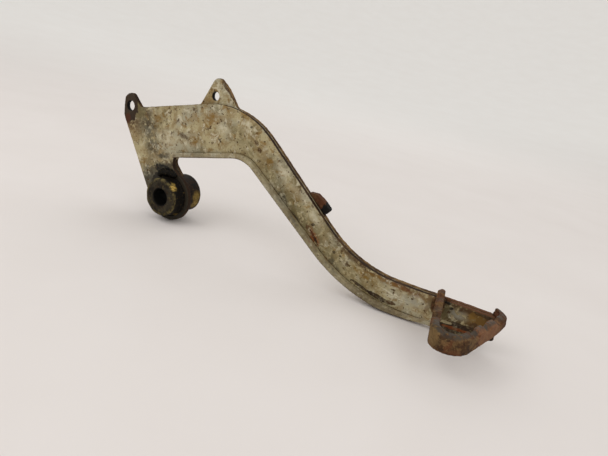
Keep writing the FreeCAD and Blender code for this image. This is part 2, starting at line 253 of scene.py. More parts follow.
class Finish:
    """A material in the making. Its textures are laid out in millimetres of the part's own frame."""

    def __init__(self, name, gloss=0.35):
        self.material = bpy.data.materials.new(name)
        self.material.use_nodes = True
        self.tree = self.material.node_tree
        self.shader = self.tree.nodes["Principled BSDF"]
        self.shader.inputs["Specular IOR Level"].default_value = gloss
        self.coordinates = self.node("ShaderNodeTexCoord")
        self.place = self.scaled(self.coordinates.outputs["Object"], 1.0 / MM)
        self.spot = self.node("ShaderNodeSeparateXYZ", self.place).outputs
        self.normal = self.node("ShaderNodeSeparateXYZ", self.coordinates.outputs["Normal"]).outputs

    def node(self, kind, *inputs, **settings):
        """A new node with its settings, and its first inputs fed."""
        made = self.tree.nodes.new(kind)
        for key, value in settings.items():
            setattr(made, key, value)
        for index, value in enumerate(inputs):
            self.feed(made.inputs[index], value)
        return made

    def feed(self, socket, value):
        """Links another node's output to a socket, or sets the socket's own value."""
        if isinstance(value, bpy.types.NodeSocket):
            self.tree.links.new(value, socket)
        elif value is not None:
            socket.default_value = value

    def vector(self, operation, first, second=None):
        return self.node("ShaderNodeVectorMath", first, second, operation=operation).outputs[0]

    def dot(self, first, second):
        return self.node("ShaderNodeVectorMath", first, second, operation="DOT_PRODUCT").outputs["Value"]

    def scaled(self, vector, factor):
        made = self.node("ShaderNodeVectorMath", vector, operation="SCALE")
        made.inputs["Scale"].default_value = factor
        return made.outputs[0]

    def math(self, operation, first, second=None):
        return self.node("ShaderNodeMath", first, second, operation=operation).outputs[0]

    def times(self, first, second):
        return self.math("MULTIPLY", first, second)

    def plus(self, first, second):
        return self.math("ADD", first, second)

    def most(self, first, second):
        return self.math("MAXIMUM", first, second)

    def without(self, mask):
        return self.math("SUBTRACT", 1.0, mask)

    def rise(self, value, low, high):
        """0 at low and 1 at high, with a smooth step between; low may be the larger of the two."""
        made = self.node("ShaderNodeMapRange", value, interpolation_type="SMOOTHSTEP")
        falls = low > high
        made.inputs["From Min"].default_value = min(low, high)
        made.inputs["From Max"].default_value = max(low, high)
        made.inputs["To Min"].default_value = 1.0 if falls else 0.0
        made.inputs["To Max"].default_value = 0.0 if falls else 1.0
        return made.outputs["Result"]

    def noise(self, size, seed, detail, rough, warp):
        place = self.vector("ADD", self.place, (seed * 37.0, seed * 11.0, seed * 23.0))
        made = self.node("ShaderNodeTexNoise", place)
        made.inputs["Scale"].default_value = 1.0 / size
        made.inputs["Detail"].default_value = detail
        made.inputs["Roughness"].default_value = rough
        made.inputs["Distortion"].default_value = warp
        return made.outputs

    def cloud(self, size, seed, detail=4.0, rough=0.55, warp=0.0):
        """Noise whose lumps are about size millimetres across."""
        return self.noise(size, seed, detail, rough, warp)["Fac"]

    def ragged(self, size, reach, seed):
        """The place moved about by noise, so that what is drawn with it has a ragged edge."""
        shake = self.vector("SUBTRACT", self.noise(size, seed, 4.0, 0.55, 0.0)["Color"], (0.5, 0.5, 0.5))
        return self.vector("ADD", self.place, self.scaled(shake, reach))

    def mix(self, mask, first, second):
        """Goes from the first colour to the second as the mask goes from 0 to 1."""
        made = self.node("ShaderNodeMix", data_type="RGBA")
        self.feed(made.inputs[0], mask)
        self.feed(made.inputs[6], first)
        self.feed(made.inputs[7], second)
        return made.outputs[2]

    def blend(self, mask, first, second):
        """Goes from the first number to the second as the mask goes from 0 to 1."""
        made = self.node("ShaderNodeMix", data_type="FLOAT")
        self.feed(made.inputs[0], mask)
        self.feed(made.inputs[2], first)
        self.feed(made.inputs[3], second)
        return made.outputs[0]

    def coat(self, colour, layers):
        """Lays noise patches over a colour: lump size, seed, start and full, strength, colour."""
        for size, seed, low, high, strength, tint in layers:
            mask = self.rise(self.cloud(size, seed, 6.0, 0.62, 0.5), low, high)
            colour = self.mix(self.times(mask, strength), colour, tint)
        return colour

    def patch(self, place, centre, half_length, half_height, turn, soft):
        """An ellipse in the x-z plane: 1 inside it, fading to 0 over soft times its size."""
        away = self.vector("SUBTRACT", place, (centre[0], 0.0, centre[1]))
        cosine, sine = math.cos(math.radians(turn)), math.sin(math.radians(turn))
        along = self.dot(away, (cosine / half_length, 0.0, sine / half_length))
        across = self.dot(away, (-sine / half_height, 0.0, cosine / half_height))
        length = self.math("SQRT", self.plus(self.times(along, along), self.times(across, across)))
        return self.rise(length, 1.0 + soft, 1.0 - soft)

    def ball(self, place, centre, radius, soft):
        """1 within a radius of a point in space, fading to 0 over soft times the radius."""
        far = self.node("ShaderNodeVectorMath", place, centre, operation="DISTANCE").outputs["Value"]
        return self.rise(far, radius * (1.0 + soft), radius * (1.0 - soft))

    def torn(self, mask, noise):
        """A mask whose soft border is broken up by noise."""
        return self.rise(self.plus(mask, self.times(self.plus(noise, -0.5), 1.6)), 0.38, 0.62)

    def bump(self, height, distance, strength):
        """A normal that shows a height from 0 to 1 as relief of so many millimetres."""
        made = self.node("ShaderNodeBump")
        made.inputs["Strength"].default_value = strength
        made.inputs["Distance"].default_value = distance * MM
        self.feed(made.inputs["Height"], height)
        return made.outputs["Normal"]

    def hollow(self, distance):
        """1 deep in corners, 0 in the open."""
        made = self.node("ShaderNodeAmbientOcclusion", samples=8)
        made.inputs["Distance"].default_value = distance * MM
        return self.without(made.outputs["AO"])

    def near_edge(self, radius):
        """1 on edges and in corners, 0 further than a radius away from them."""
        round_normal = self.node("ShaderNodeBevel", samples=6)
        round_normal.inputs["Radius"].default_value = radius * MM
        true_normal = self.node("ShaderNodeNewGeometry").outputs["Normal"]
        return self.rise(self.dot(round_normal.outputs[0], true_normal), 0.985, 0.85)

    def stored(self, name):
        """A number that the points of the mesh carry."""
        return self.node("ShaderNodeAttribute", attribute_name=name).outputs["Fac"]

    def done(self, colour, roughness, normal, metallic=None):
        """Feeds the shader and hands the material over."""
        self.feed(self.shader.inputs["Base Color"], colour)
        self.feed(self.shader.inputs["Roughness"], roughness)
        self.feed(self.shader.inputs["Normal"], normal)
        self.feed(self.shader.inputs["Metallic"], metallic)
        return self.material


# Noise layers of the old paint: lump size, seed, start and full, strength, colour
paint_layers = (
    (24, 2, 0.46, 0.60, 0.6, SILVER),
    (9, 3, 0.46, 0.58, 0.6, TAN),
    (15, 4, 0.52, 0.64, 0.55, OLIVE),
    (5, 5, 0.55, 0.63, 0.65, OCHRE),
    (6, 6, 0.55, 0.63, 0.7, PALE),
    (3.4, 7, 0.585, 0.65, 0.75, BROWN),
    (1.8, 8, 0.58, 0.66, 0.4, PALE),
    (1.3, 9, 0.58, 0.66, 0.45, OLIVE),
)
# Stains on the outer face, and painted shade on the slope and inside the loop: centre x and z, half
# length, half height, turn, softness, strength, colour
paint_stains_and_shade = (
    ((-40.5, 42), 8, 6, 10, 0.9, 0.75, TAN_RUST),
    ((-42, 43), 6, 4, 10, 0.9, 0.7, BROWN),
    ((-33, 50), 8, 12, 10, 0.9, 0.55, GRIME),
    ((-29, 55), 7, 4, 10, 0.8, 0.6, BROWN),
    ((-24.5, 44), 6, 9, 15, 0.8, 0.65, GRIME),
    ((-20.5, 31), 6, 7, 30, 0.8, 0.75, GRIME),
    ((-9.3, 27.2), 5, 2.4, 15, 0.6, 0.85, GRIME),
    ((-22, 10.5), 6, 8, 10, 0.8, 0.8, GRIME),
    ((-2, 23.2), 6, 3.2, 5, 0.7, 0.85, BROWN),
    ((-17.8, 52.4), 3.5, 3, 0, 0.7, 0.7, OCHRE),
    ((28.7, 62.7), 6, 4, 10, 0.7, 0.8, OCHRE),
    ((8.7, 45.2), 8, 1.4, -12, 0.7, 0.8, BROWN),
    ((16, 44.3), 3.5, 3, -30, 0.6, 0.8, OCHRE),
    ((22, 75), 4, 5, 0, 0.7, 0.6, OCHRE),
    ((54.5, 71), 5, 1.8, -30, 0.6, 0.8, OCHRE),
    ((50, 57.5), 9, 6, -20, 0.9, 0.6, OLIVE),
    ((67.5, 54.5), 6, 3, -50, 0.8, 0.8, TAN),
    ((77.8, 46.8), 2.6, 2.2, 0, 0.6, 0.85, OCHRE),
    # Painted shade: the next olive band darkens the slope's lower half towards the lip, lighter towards
    # the upper edge
    ((100, 24), 34, 5.5, -slope_fall, 0.8, 0.75, OLIVE),
    ((122, 11), 18, 8, -slope_fall, 0.9, 0.5, OLIVE),
    ((152, -2), 20, 8, -20, 0.9, 0.5, OLIVE),
    ((139, 10.6), 8, 1.8, -30, 0.7, 0.85, BROWN),
    ((155, 3.6), 12, 1.8, -17, 0.7, 0.95, BROWN),
    ((178, 0.4), 14, 1.6, -4, 0.7, 0.95, RED_RUST),
    ((194.8, 0.2), 3.5, 3, 0, 0.8, 0.8, TAN_RUST),
    ((92, 28), 4, 1.4, -38, 0.6, 0.85, GRIME),
    ((104.2, 17.6), 4, 1.2, -38, 0.6, 0.85, GRIME),
    ((114, 14), 3, 1.2, -45, 0.6, 0.85, BROWN),
    ((118.6, 10.1), 6, 2, -46, 0.7, 0.9, ORANGE),
    ((135.9, -2.6), 5, 2, -40, 0.7, 0.7, GRIME),
    ((142.9, 1.1), 2, 1.4, 0, 0.6, 0.8, BROWN),
    ((153.7, -1.2), 6, 1.2, -25, 0.7, 0.75, OCHRE),
    ((168, 0.4), 12, 1.2, -4, 0.7, 0.7, OCHRE),
    ((163, -14), 16, 1.6, -9, 0.8, 0.7, OLIVE),
    ((191.4, -9.2), 2.2, 1.7, 0, 0.6, 0.85, OCHRE),
    ((197, -4.5), 2.4, 8, 0, 0.8, 0.85, TAN_RUST),
    # Inside the loop: the next olive patch is the web's olive paint darkened as painted shade, and the
    # brown one after it is painted shade
    ((215, -3), 17, 9, 4, 0.3, 0.9, OLIVE),
    ((218, -2), 15, 7, 4, 0.5, 0.8, BROWN),
    ((214.5, -2.6), 5, 2.6, 0, 0.9, 0.75, SILVER),
    ((224.5, -1.5), 6, 4, 0, 0.9, 0.85, OCHRE),
    # Painted shade under the arm's upper edge inside the loop
    ((219, 1.2), 14, 1.6, 2, 0.8, 0.95, BROWN),
    ((38.8, 58.4), 3.5, 2.6, 0, 0.8, 0.8, PALE),
    ((55.5, 64.9), 4.5, 2.6, -20, 0.8, 0.8, PALE),
    ((-7.3, 39.7), 6, 4, 0, 0.9, 0.7, PALE),
    ((90, 43.5), 9, 2.4, -slope_fall, 0.8, 0.65, PALE),
    ((116, 22), 5, 1.8, -slope_fall, 0.8, 0.7, PALE),
    ((187, -6), 8, 3, 5, 0.8, 0.8, SILVER),
    ((175, -5.6), 7, 0.5, -4, 0.7, 0.95, PALE),
    ((179, -7.2), 5, 0.4, -2, 0.7, 0.95, PALE),
)
# Rust and grease that reach round to the back: the rod end, the boss and the tip
paint_wraps = (
    ((-36, 56), 6, 9, 0, 0.6, 0.75, OLIVE),
    ((-46, 55), 8.3, 12.5, 0, 0.35, 0.96, DARK_RUST),
    ((-46.5, 45.5), 3, 3.5, 0, 0.6, 0.8, RED_BROWN),
    ((0, 0), 25, 23, 0, 0.35, 0.75, GRIME),
    ((1, 0), 20, 19, 0, 0.22, 0.92, GREASE),
    ((236, -4), 14, 16, 0, 0.5, 0.85, BROWN),
    ((236, -10), 12, 6, 0, 0.5, 0.9, DARK_RUST),
)
# Bare, rusted and greasy places of the outer face with torn borders, and what shows on top of them, with
# some lines and spots of painted shade
paint_losses_and_shade = (
    ((-6, 17), 10, 3.8, 0, 0.45, 0.95, SOOT),
    ((37.3, 50.5), 1.9, 0.6, -40, 0.4, 0.95, SOOT),
    ((59.9, 64.9), 0.9, 0.7, 0, 0.4, 0.95, SOOT),
    ((65.8, 56.2), 2.0, 1.3, -35, 0.6, 0.9, BROWN),
    ((68.9, 52.3), 1.8, 1.2, -45, 0.6, 0.9, BROWN),
    ((118.2, 10.6), 5.5, 0.9, -46, 0.5, 0.9, RED_BROWN),
    ((120.4, 8.2), 2.6, 0.7, -48, 0.5, 0.9, DARK_RUST),
    ((116.4, 17.6), 1.3, 1.0, 0, 0.5, 0.95, DARK_RUST),
    ((133.9, 5.4), 1.1, 0.8, 0, 0.5, 0.95, DARK_RUST),
    ((138.8, 4.4), 1.0, 0.7, 0, 0.5, 0.95, DARK_RUST),
    ((156, -9.2), 8, 1.0, -15, 0.5, 0.9, DARK_RUST),
    ((168, -11.5), 8.5, 1.5, -8, 0.4, 0.95, DARK_RUST),
    ((176.5, -11.7), 2.8, 1.3, 0, 0.4, 0.95, BROWN),
    ((33.5, 85.3), 5.2, 1.8, -39, 0.4, 0.9, BROWN),
    ((39.1, 80.4), 5.2, 1.3, -43, 0.4, 0.9, BROWN),
    ((209.5, -0.6), 1.2, 0.9, 0, 0.5, 0.95, SOOT),
    # Painted shade: a dark line in the gap between the plate and the lip inside the loop
    ((217, -8.4), 11, 1.0, 5.7, 0.5, 0.9, DARK_RUST),
    ((216, -12.2), 12, 3.4, 5.7, 0.4, 0.95, DARK_RUST),
    ((216, -11.4), 8, 0.9, 5.7, 0.5, 0.8, ORANGE),
    ((209.5, -9.6), 3, 1.0, 5, 0.4, 0.85, CREAM),
    # Painted shade: a near-black spot in the gap where the rear leg meets the arm's upper edge
    ((206.6, 2.2), 2.2, 1.4, 0, 0.4, 0.95, SOOT),
    ((224.5, -0.8), 5, 3, 0, 0.9, 0.5, OCHRE),
    ((226, 2.2), 4.5, 1.1, -3, 0.8, 0.7, DARK_RUST),
    ((207, -4), 2.2, 4.5, 0, 0.8, 0.7, OLIVE),
)


def make_worn_paint(name, folded):
    """Stained old paint with rusted cut edges. On the folded sheet the lip has paint on its faces."""
    finish = Finish(name, gloss=0.2)
    grain = finish.cloud(1.2, 1, detail=3)
    blotch = finish.cloud(9, 12, detail=6, rough=0.6)
    pits = finish.rise(finish.cloud(2.3, 13, detail=2, rough=0.5), 0.64, 0.7)
    ragged = finish.ragged(4, 4, 14)
    frayed = finish.ragged(1.5, 1.6, 16)
    broken = finish.rise(finish.cloud(2.6, 15, detail=5, rough=0.65), 0.36, 0.54)
    front = finish.rise(finish.normal["Y"], 0.2, -0.3)

    colour = finish.coat(CREAM, paint_layers)
    for centre, length, height, turn, soft, strength, tint in paint_stains_and_shade:
        mask = finish.times(finish.patch(ragged, centre, length, height, turn, soft), front)
        colour = finish.mix(finish.times(mask, finish.times(broken, strength)), colour, tint)
    crumble = finish.cloud(3.2, 17, detail=6, rough=0.68)
    streaky = finish.blend(broken, 0.65, 1.0)
    for centre, length, height, turn, soft, strength, tint in paint_wraps:
        mask = finish.torn(finish.patch(frayed, centre, length, height, turn, soft), crumble)
        colour = finish.mix(finish.times(mask, strength), colour, tint)
    for centre, length, height, turn, soft, strength, tint in paint_losses_and_shade:
        mask = finish.torn(finish.patch(frayed, centre, length, height, turn, soft), crumble)
        strong = finish.times(finish.times(mask, front), finish.times(streaky, strength))
        colour = finish.mix(strong, colour, tint)
    colour = finish.mix(finish.times(pits, 0.85), colour, BROWN)

    by_boss = finish.ball(frayed, (4.0, plate_front, 4.0), boss_weld_radius + 6, 0.2)
    rim = finish.near_edge(1.1)
    rim_tint = finish.mix(by_boss, BROWN, OLIVE)
    colour = finish.mix(finish.times(rim, finish.blend(broken, 0.45, 0.9)), colour, rim_tint)
    edge = finish.rise(finish.math("ABSOLUTE", finish.normal["Y"]), 0.85, 0.45)
    # The walls of the two holes are made near-black: painted shade inside the holes
    hole_wall_shade = finish.most(*(finish.ball(finish.place, *hole, 0.05) for hole in sheet_holes))
    hole_wall_shade = finish.times(hole_wall_shade, edge)
    by_tread = finish.rise(finish.spot["X"], tread_rust_from, tread_rust_full)
    if folded:
        on_lip = finish.rise(finish.spot["Y"], plate_front - 0.5, plate_front - 1.3)
        colour = finish.mix(finish.times(on_lip, finish.blend(blotch, 0.2, 0.6)), colour, LIP_GREY)
        under = finish.times(on_lip, finish.rise(finish.normal["Z"], -0.2, -0.7))
        foot = finish.times(on_lip, finish.rise(finish.spot["X"], lip_stain_from, lip_stain_full))
        foot = finish.times(foot, finish.rise(finish.spot["X"], lip_stain_gone, lip_stain_fades))
        colour = finish.mix(finish.times(foot, finish.blend(broken, 0.05, 0.3)), colour, BROWN)
        colour = finish.mix(finish.times(under, 0.8), colour, BROWN)
        behind = finish.rise(finish.spot["Y"], plate_front - 0.6, plate_front)
        edge = finish.times(edge, finish.times(behind, finish.rise(finish.normal["Z"], -0.5, -0.2)))
    dark_edge, light_edge = (BROWN, TAN_RUST) if folded else (DARK_RUST, BROWN)
    edge_tint = finish.mix(finish.rise(blotch, 0.48, 0.6), dark_edge, light_edge)
    edge_tint = finish.mix(finish.times(by_tread, 0.8), edge_tint, RED_RUST)
    edge_tint = finish.mix(finish.times(by_boss, 0.7), edge_tint, DARK_RUST)
    groove = finish.rise(finish.math("ABSOLUTE", finish.plus(finish.spot["Y"], -plate_back)), 0.7, 0.3)
    edge_tint = finish.mix(finish.times(groove, 0.7), edge_tint, DARK_RUST)
    colour = finish.mix(edge, colour, edge_tint)
    colour = finish.mix(hole_wall_shade, colour, SOOT)
    # Darker towards corners and creases by ambient occlusion: painted shade, made deeper near the boss
    # and the tread, where grease and rust darken them too
    corner = finish.rise(finish.hollow(3), 0.4, 0.85)
    greasy = finish.most(by_boss, by_tread)
    colour = finish.mix(finish.times(corner, finish.blend(greasy, 0.4, 0.75)), colour, DARK_RUST)

    rough_places = finish.most(edge, pits)
    roughness = finish.blend(rough_places, finish.blend(grain, 0.5, 0.72), 0.88)
    height = finish.plus(finish.times(blotch, 0.5), finish.times(grain, 0.4))
    height = finish.plus(height, finish.times(pits, -0.5))
    return finish.done(colour, roughness, finish.bump(height, 0.4, 0.55))


# Flecks of old yellow grease on the boss, set where the barrel catches the light, so that they are
# painted highlights as well as grease: centre, radius and strength
grease_flecks_and_highlights = (
    ((9.8, -12.6, 9.8), 2.3, 0.95),
    ((8.2, -11.0, 11.8), 1.7, 0.6),
    ((10.8, -7.0, -14.2), 3.0, 0.5),
    ((13.2, 9.0, 1.0), 3.8, 0.35),
    ((12.6, 9.0, -4.5), 3.4, 0.45),
)

# Noise layers of the boss's face
face_layers = (
    (6, 61, 0.42, 0.6, 0.8, GRIME),
    (3.5, 62, 0.5, 0.62, 0.6, DARK_RUST),
    (4.5, 63, 0.54, 0.64, 0.5, OLIVE),
    (1.6, 64, 0.56, 0.66, 0.5, SOOT),
)


def make_greasy_steel():
    """Steel dark with old grease, mottled on the front face and rusty behind; near-black on the barrel
    between the front face and the plate; painted highlights on the front rim and the barrel, painted
    shade in the bore.
    """
    finish = Finish("greasy_steel", gloss=0.1)
    wide = finish.cloud(12, 21, detail=4)
    flakes = finish.cloud(3.2, 22, detail=5, rough=0.62, warp=0.5)
    grain = finish.cloud(1.0, 23, detail=3)
    ragged = finish.ragged(2.5, 3.0, 24)
    across = finish.vector("MULTIPLY", finish.place, (1.0, 0.0, 1.0))
    radius = finish.node("ShaderNodeVectorMath", across, operation="LENGTH").outputs["Value"]
    colour = finish.mix(finish.rise(wide, 0.4, 0.65), SOOT, GREASE)
    behind = finish.rise(finish.spot["Y"], 0.0, 3.0)
    colour = finish.mix(finish.times(behind, finish.rise(flakes, 0.4, 0.6)), colour, DARK_RUST)
    face = finish.rise(finish.normal["Y"], -0.75, -0.95)
    mottled = finish.coat(GREASE, face_layers)
    colour = finish.mix(finish.times(face, 0.85), colour, mottled)
    # A paler ring on the front face's rounded rim: painted highlight where the rim catches the light
    near_front = finish.rise(finish.spot["Y"], boss_front + 1.6, boss_front + 0.8)
    face_rim_highlight = finish.times(near_front, finish.rise(radius, boss_radius - 3.0, boss_radius - 1.2))
    colour = finish.mix(finish.times(face_rim_highlight, finish.rise(flakes, 0.42, 0.62)), colour, OLIVE)
    crumbs = finish.cloud(1.2, 25, detail=5, rough=0.65)
    # The barrel from just behind the front face to the plate is made near-black
    past_face = finish.rise(finish.spot["Y"], boss_front + 1.1, boss_front + 2.1)
    barrel = finish.times(past_face, finish.rise(finish.spot["Y"], 2.0, -2.0))
    colour = finish.mix(finish.times(barrel, 0.9), colour, SOOT)
    # Yellow grease crumbs all over, and flecks where the barrel catches the light: painted highlights as
    # well as grease
    gold_grease_and_highlight = finish.times(finish.rise(crumbs, 0.62, 0.7), 0.35)
    for centre, reach, strength in grease_flecks_and_highlights:
        here = finish.times(finish.ball(ragged, centre, reach, 0.5), finish.rise(crumbs, 0.32, 0.56))
        gold_grease_and_highlight = finish.most(gold_grease_and_highlight, finish.times(here, strength))
    colour = finish.mix(gold_grease_and_highlight, colour, GOLD)
    colour = finish.mix(finish.times(finish.rise(grain, 0.58, 0.78), 0.5), colour, BROWN)
    # The bore and a thin ring round its mouth are made near-black: painted shade inside the bore
    colour = finish.mix(finish.rise(radius, bore_radius + 1.2, bore_radius + 0.3), colour, SOOT)
    roughness = finish.blend(flakes, 0.45, 0.8)
    height = finish.plus(finish.times(flakes, 0.7), finish.times(grain, 0.35))
    return finish.done(colour, roughness, finish.bump(height, 0.45, 0.6))


# Noise layers of the rust
rust_layers = (
    (9, 32, 0.42, 0.56, 0.8, RED_RUST),
    (5.5, 33, 0.5, 0.6, 0.6, TAN_RUST),
    (4, 34, 0.52, 0.61, 0.75, DARK_RUST),
    (1.8, 35, 0.56, 0.66, 0.45, TAN),
    (1.1, 36, 0.57, 0.68, 0.6, SOOT),
)

# Spots on the stop block and on the tread: centre, radius, softness, strength, colour. The stop block's
# one spot is painted shade on its lower end.
stop_end_shade = (
    ((121.5, 1.0, 28.5), 4.5, 0.4, 1.0, SOOT),
)
tread_spots = (
    ((230, -25, 2), 12, 0.8, 0.45, PINK_RUST),
    ((207, -49, 1), 5, 0.8, 0.35, TAN),
    ((236, -3, 2), 6, 0.8, 0.6, RED_BROWN),
)


def make_rusty_steel(name, redden, spots):
    """Brown rust with spots, rubbed to dull grey metal where the points of the mesh say so."""
    finish = Finish(name, gloss=0.25)
    crust = finish.cloud(2.2, 41, detail=6, rough=0.68)
    grain = finish.cloud(0.8, 42, detail=3)
    colour = finish.coat(BROWN, rust_layers)
    colour = finish.mix(finish.times(finish.blend(crust, 0.3, 0.8), redden), colour, RED_BROWN)
    ragged = finish.ragged(2, 1.5, 43)
    for centre, radius, soft, strength, tint in spots:
        mask = finish.torn(finish.ball(ragged, centre, radius, soft), crust)
        colour = finish.mix(finish.times(mask, strength), colour, tint)
    worn = finish.times(finish.stored("worn"), finish.rise(crust, 0.62, 0.44))
    colour = finish.mix(finish.times(worn, 0.85), colour, finish.mix(crust, STEEL, GRIME))
    roughness = finish.blend(worn, 0.9, 0.55)
    height = finish.plus(finish.times(crust, 0.8), finish.times(grain, 0.4))
    return finish.done(colour, roughness, finish.bump(height, 0.5, 0.7), finish.times(worn, 0.4))


def link(piece):
    """Puts an object in the scene."""
    bpy.context.scene.collection.objects.link(piece)
    return piece


def applied(piece):
    """Turns the piece's modifiers into its mesh."""
    depsgraph = bpy.context.evaluated_depsgraph_get()
    mesh = bpy.data.meshes.new_from_object(piece.evaluated_get(depsgraph))
    old = piece.data
    piece.modifiers.clear()
    piece.data = mesh
    bpy.data.meshes.remove(old)
    return piece


def smooth_copy(node, name):
    """A new piece with the node's mesh, the facets of its arcs turned into smooth curves."""
    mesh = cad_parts[node].data.copy()
    mesh.materials.clear()
    shape = bmesh.new()
    shape.from_mesh(mesh)
    bmesh.ops.remove_doubles(shape, verts=shape.verts, dist=0.001 * MM)
    bmesh.ops.dissolve_limit(shape, angle_limit=flat_angle, verts=shape.verts, edges=shape.edges)
    for edge in list(shape.edges):
        cuts = int(edge.calc_length() / (longest_edge * MM))
        if cuts:
            bmesh.ops.bisect_edges(shape, edges=[edge], cuts=cuts)
    wide_faces = [face for face in shape.faces if len(face.verts) > 4]
    bmesh.ops.triangulate(shape, faces=wide_faces)
    crease = shape.edges.layers.float.new("crease_edge")
    for edge in shape.edges:
        edge[crease] = 1.0 if edge.calc_face_angle(0.0) > sharp_angle else 0.0
    shape.to_mesh(mesh)
    shape.free()
    piece = link(bpy.data.objects.new(name, mesh))
    smooth = piece.modifiers.new("smooth", "SUBSURF")
    smooth.levels = 1
    smooth.render_levels = 1
    return applied(piece)


def remeshed(node, name, voxel, rounds):
    """A copy of a node in an even net of small faces, smoothed a few rounds."""
    piece = smooth_copy(node, name)
    remesh = piece.modifiers.new("remesh", "REMESH")
    remesh.mode = "VOXEL"
    remesh.voxel_size = voxel * MM
    remesh.use_smooth_shade = True
    smooth = piece.modifiers.new("smooth", "SMOOTH")
    smooth.factor = 0.5
    smooth.iterations = rounds
    return applied(piece)


def worn_in(piece, wear):
    """Moves each point by what wear says, in millimetres, for its place and normal."""
    mesh = piece.data
    moves = [wear(vertex.co / MM, vertex.normal) * MM for vertex in mesh.vertices]
    for vertex, move in zip(mesh.vertices, moves):
        vertex.co += move
    mesh.update()


def store(piece, name, value):
    """Keeps a number for each point of the mesh, for the material to read."""
    layer = piece.data.attributes.new(name, "FLOAT", "POINT")
    for vertex, item in zip(piece.data.vertices, layer.data):
        item.value = value(vertex.co / MM, vertex.normal)


def dress(piece, material, node=None):
    """Gives a piece its material, puts it under the root body, and hides the node whose place it takes,
    if any.
    """
    piece.data.materials.clear()
    piece.data.materials.append(material)
    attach(piece, "root")
    if node:
        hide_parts(node)


def lumps(point, size, seed):
    """Noise from 0 to 1 with lumps of about size millimetres."""
    return 0.5 + 0.5 * noise.noise(point / size + Vector((seed, seed, seed)))


def step_up(value, low, high):
    """0 below low and 1 above high, with a smooth step between."""
    share = min(1.0, max(0.0, (value - low) / (high - low)))
    return share * share * (3 - 2 * share)


def sheet_wear(point, normal):
    """Shallow dents, and uneven upper edges. The lip in front of the plate keeps its shape."""
    upper = step_up(normal.z, 0.1, 0.5) if point.y > plate_front - 0.2 else 0.0
    dents = sheet_dent * lumps(point, 8.0, 4.4)
    bites = sheet_edge_wear * upper * lumps(point, 2.4, 8.8)
    return normal * (-dents - bites)


def plate_wear(point, normal):
    """As the sheets, but the plate's lower edge runs on into the lip below it, so that no slit shows."""
    past_boss = point.x > boss_weld_radius + seam_gap
    over_lip = point.x > seam_from.x and (past_boss or point.z > seam_from.y)
    seam = step_up(-normal.z, 0.2, 0.5) if over_lip else 0.0
    return sheet_wear(point, normal) + Vector((normal.x, 0, normal.z)) * seam_reach * seam


def boss_wear(point, normal):
    """Shallow dents, a front rim that is rounded off, and the ripples of the weld around the barrel."""
    radius = math.hypot(point.x, point.z)
    front = step_up(-point.y, -boss_front - 1.5, -boss_front)
    rim = step_up(radius, boss_radius - 3.0, boss_radius) * front
    turn = math.atan2(point.z, point.x)
    weld = step_up(radius, boss_radius + 0.2, boss_radius + 1.0)
    ripple = 0.5 + 0.5 * math.sin(36 * turn + 3 * lumps(point, 5.0, 1.3))
    worn = boss_dent * lumps(point, 3.0, 3.1) + boss_rim_wear * rim * lumps(point, 4.5, 6.1)
    return normal * -(worn + weld * (weld_ripple * ripple + weld_lump * lumps(point, 4.0, 2.2)))


def tread_offset(point):
    """How far a point lies outside the strip's centre line; inside the loop it is below zero."""
    flat = Vector((point.x - (tread_top - point.z) * math.tan(tread_lean), point.y))
    if flat.y < (rear_touch.y + front_touch.y) / 2:
        return (flat - nose_centre).length - nose_radius
    if flat.y > curl_from.y and flat.x > curl_centre.x - curl_radius / 2:
        return (flat - curl_centre).length - curl_radius
    start, end = (rear_end, rear_touch) if flat.x < nose_centre.x else (front_touch, curl_from)
    along = (end - start).normalized()
    away = flat - start
    return away.x * along.y - away.y * along.x


def tread_wear(point, normal):
    """Shallow dents, and a rim that falls away to the outside."""
    high = step_up(point.z, tread_top - 6.0, tread_top - 1.0)
    shoulder = step_up(tread_offset(point), -0.6, tread_half)
    dents = tread_dent * lumps(point, 3.0, 7.7) + tread_pit * lumps(point, 1.2, 9.3)
    return normal * -dents + Vector((0, 0, -tread_rim_fall * high * shoulder))


def tread_rub(point, normal):
    """How much the upward rim is rubbed, less on the rear leg."""
    share = 0.35 if point.x < nose_centre.x and point.y > rear_touch.y + 5 else 1.0
    return share * step_up(normal.z, 0.4, 0.8) * step_up(-tread_offset(point), -1.8, -0.4)


def stop_wear(point, normal):
    """Shallow dents, and a block that is worn lower, most of all at its upper end."""
    height = max(0.0, (point - stop_foot).dot(slope_out))
    along = (point - stop_foot).dot(slope_down)
    lowered = stop_loss + stop_loss_above * step_up(-along, -12.0, -2.0)
    return normal * -stop_dent * lumps(point, 2.5, 5.5) - slope_out * height * lowered


def no_rub(point, normal):
    """For pieces that nothing rubs."""
    return 0.0


def bead_mesh(shape, path, radius, seed):
    """A weld bead along a path: a lumpy rod with tapered ends, in millimetres."""
    last = len(path) - 1
    rings = []
    for i, point in enumerate(path):
        along = (path[min(i + 1, last)] - path[max(i - 1, 0)]).normalized()
        side = along.cross(Vector((0.31, 0.83, 0.47))).normalized()
        other = along.cross(side)
        taper = math.sqrt(max(0.0, 1 - (2 * i / last - 1) ** 4))
        ripple = 1 + bead_ripple * math.sin(2.4 * i)
        ring = []
        for k in range(bead_sides):
            angle = 2 * math.pi * k / bead_sides
            way = side * math.cos(angle) + other * math.sin(angle)
            swell = bead_least + bead_lumps * lumps(point + way * radius, 2.2, seed)
            ring.append(shape.verts.new((point + way * radius * taper * ripple * swell) * MM))
        rings.append(ring)
    for ring, following in zip(rings, rings[1:]):
        for k in range(bead_sides):
            shape.faces.new((ring[k], ring[k - 1], following[k - 1], following[k]))
    bmesh.ops.remove_doubles(shape, verts=rings[0] + rings[-1], dist=0.001 * MM)


def run_path(start, end, count):
    """Points along a straight line."""
    start, end = Vector(start), Vector(end)
    return [start.lerp(end, i / (count - 1)) for i in range(count)]


